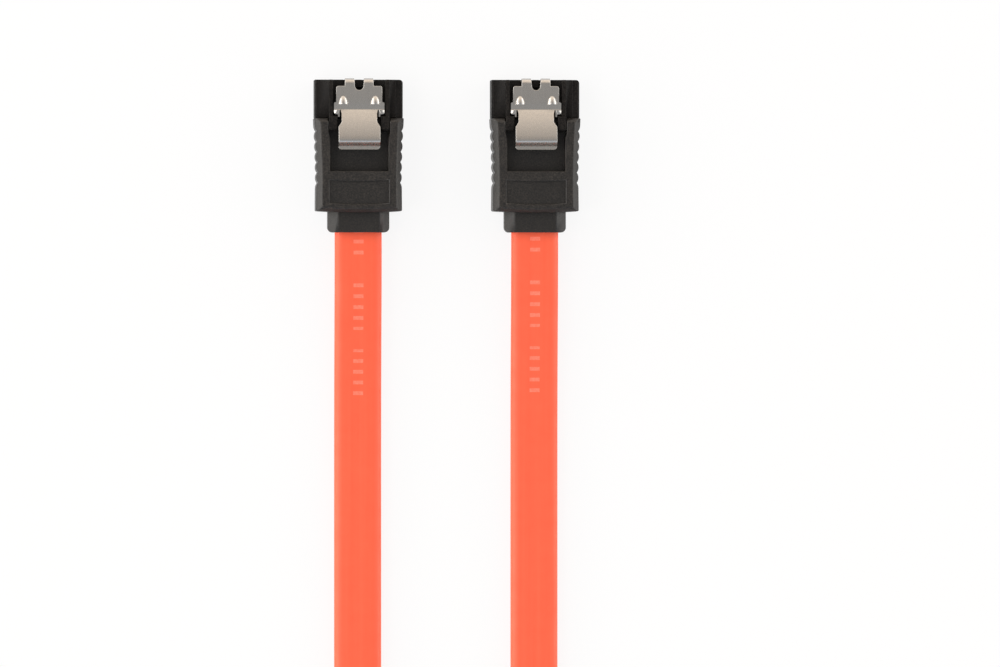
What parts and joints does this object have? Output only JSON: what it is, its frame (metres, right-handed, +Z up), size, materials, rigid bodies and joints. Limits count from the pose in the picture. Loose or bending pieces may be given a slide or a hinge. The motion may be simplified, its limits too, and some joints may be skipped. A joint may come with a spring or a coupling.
{
  "type": "serial data cable",
  "caption": "Flat red drive data cable with a straight latching plug on each end, folded into one long loop.",
  "frame": {"origin": "on the resting surface, midway between the two plugs and midway along them", "axes": "+Z up, on the latch side of both plugs; +Y out of the mating faces; +X from plug A to plug B"},
  "size_m": [0.048, 0.2577, 0.0077],
  "materials": {
    "cable_jacket": "satin",
    "grip": "satin",
    "housing": "satin",
    "latch_steel": "brushed",
    "contact_gold": "plated",
    "copper": "bare tinned strand",
    "foil": "foil",
    "core_white": "satin",
    "core_blue": "satin",
    "comb": "matte"
  },
  "bodies": {
    "cable": {"plug_a_overmould": "grip", "plug_a_housing": "housing", "plug_a_wire_comb": "comb", "plug_a_contact_1": "contact_gold", "plug_a_contact_2": "contact_gold", "plug_a_contact_3": "contact_gold", "plug_a_contact_4": "contact_gold", "plug_a_contact_5": "contact_gold", "plug_a_contact_6": "contact_gold", "plug_a_contact_7": "contact_gold", "plug_a_core_1": "core_white", "plug_a_conductor_1": "copper", "plug_a_core_2": "core_blue", "plug_a_conductor_2": "copper", "plug_a_core_3": "core_white", "plug_a_conductor_3": "copper", "plug_a_core_4": "core_blue", "plug_a_conductor_4": "copper", "plug_a_drain_1": "copper", "plug_a_drain_2": "copper", "plug_a_drain_3": "copper", "plug_a_shield_1": "foil", "plug_a_shield_2": "foil", "plug_b_overmould": "grip", "plug_b_housing": "housing", "plug_b_wire_comb": "comb", "plug_b_contact_1": "contact_gold", "plug_b_contact_2": "contact_gold", "plug_b_contact_3": "contact_gold", "plug_b_contact_4": "contact_gold", "plug_b_contact_5": "contact_gold", "plug_b_contact_6": "contact_gold", "plug_b_contact_7": "contact_gold", "plug_b_core_1": "core_white", "plug_b_conductor_1": "copper", "plug_b_core_2": "core_blue", "plug_b_conductor_2": "copper", "plug_b_core_3": "core_white", "plug_b_conductor_3": "copper", "plug_b_core_4": "core_blue", "plug_b_conductor_4": "copper", "plug_b_drain_1": "copper", "plug_b_drain_2": "copper", "plug_b_drain_3": "copper", "plug_b_shield_1": "foil", "plug_b_shield_2": "foil", "cable_jacket": "cable_jacket"},
    "latch_a": {"plug_a_latch": "latch_steel"},
    "latch_b": {"plug_b_latch": "latch_steel"}
  },
  "joints": [
    {"name": "latch_a_press", "type": "hinge", "parent": "cable", "child": "latch_a", "pos_m": [-0.01405, 0.01136, 0.00549], "axis": [1, 0, 0], "range_deg": [0, 8], "stiffness_Nm_per_rad": 0.2},
    {"name": "latch_b_press", "type": "hinge", "parent": "cable", "child": "latch_b", "pos_m": [0.01405, 0.01136, 0.00549], "axis": [1, 0, 0], "range_deg": [0, 8], "stiffness_Nm_per_rad": 0.2}
  ]
}
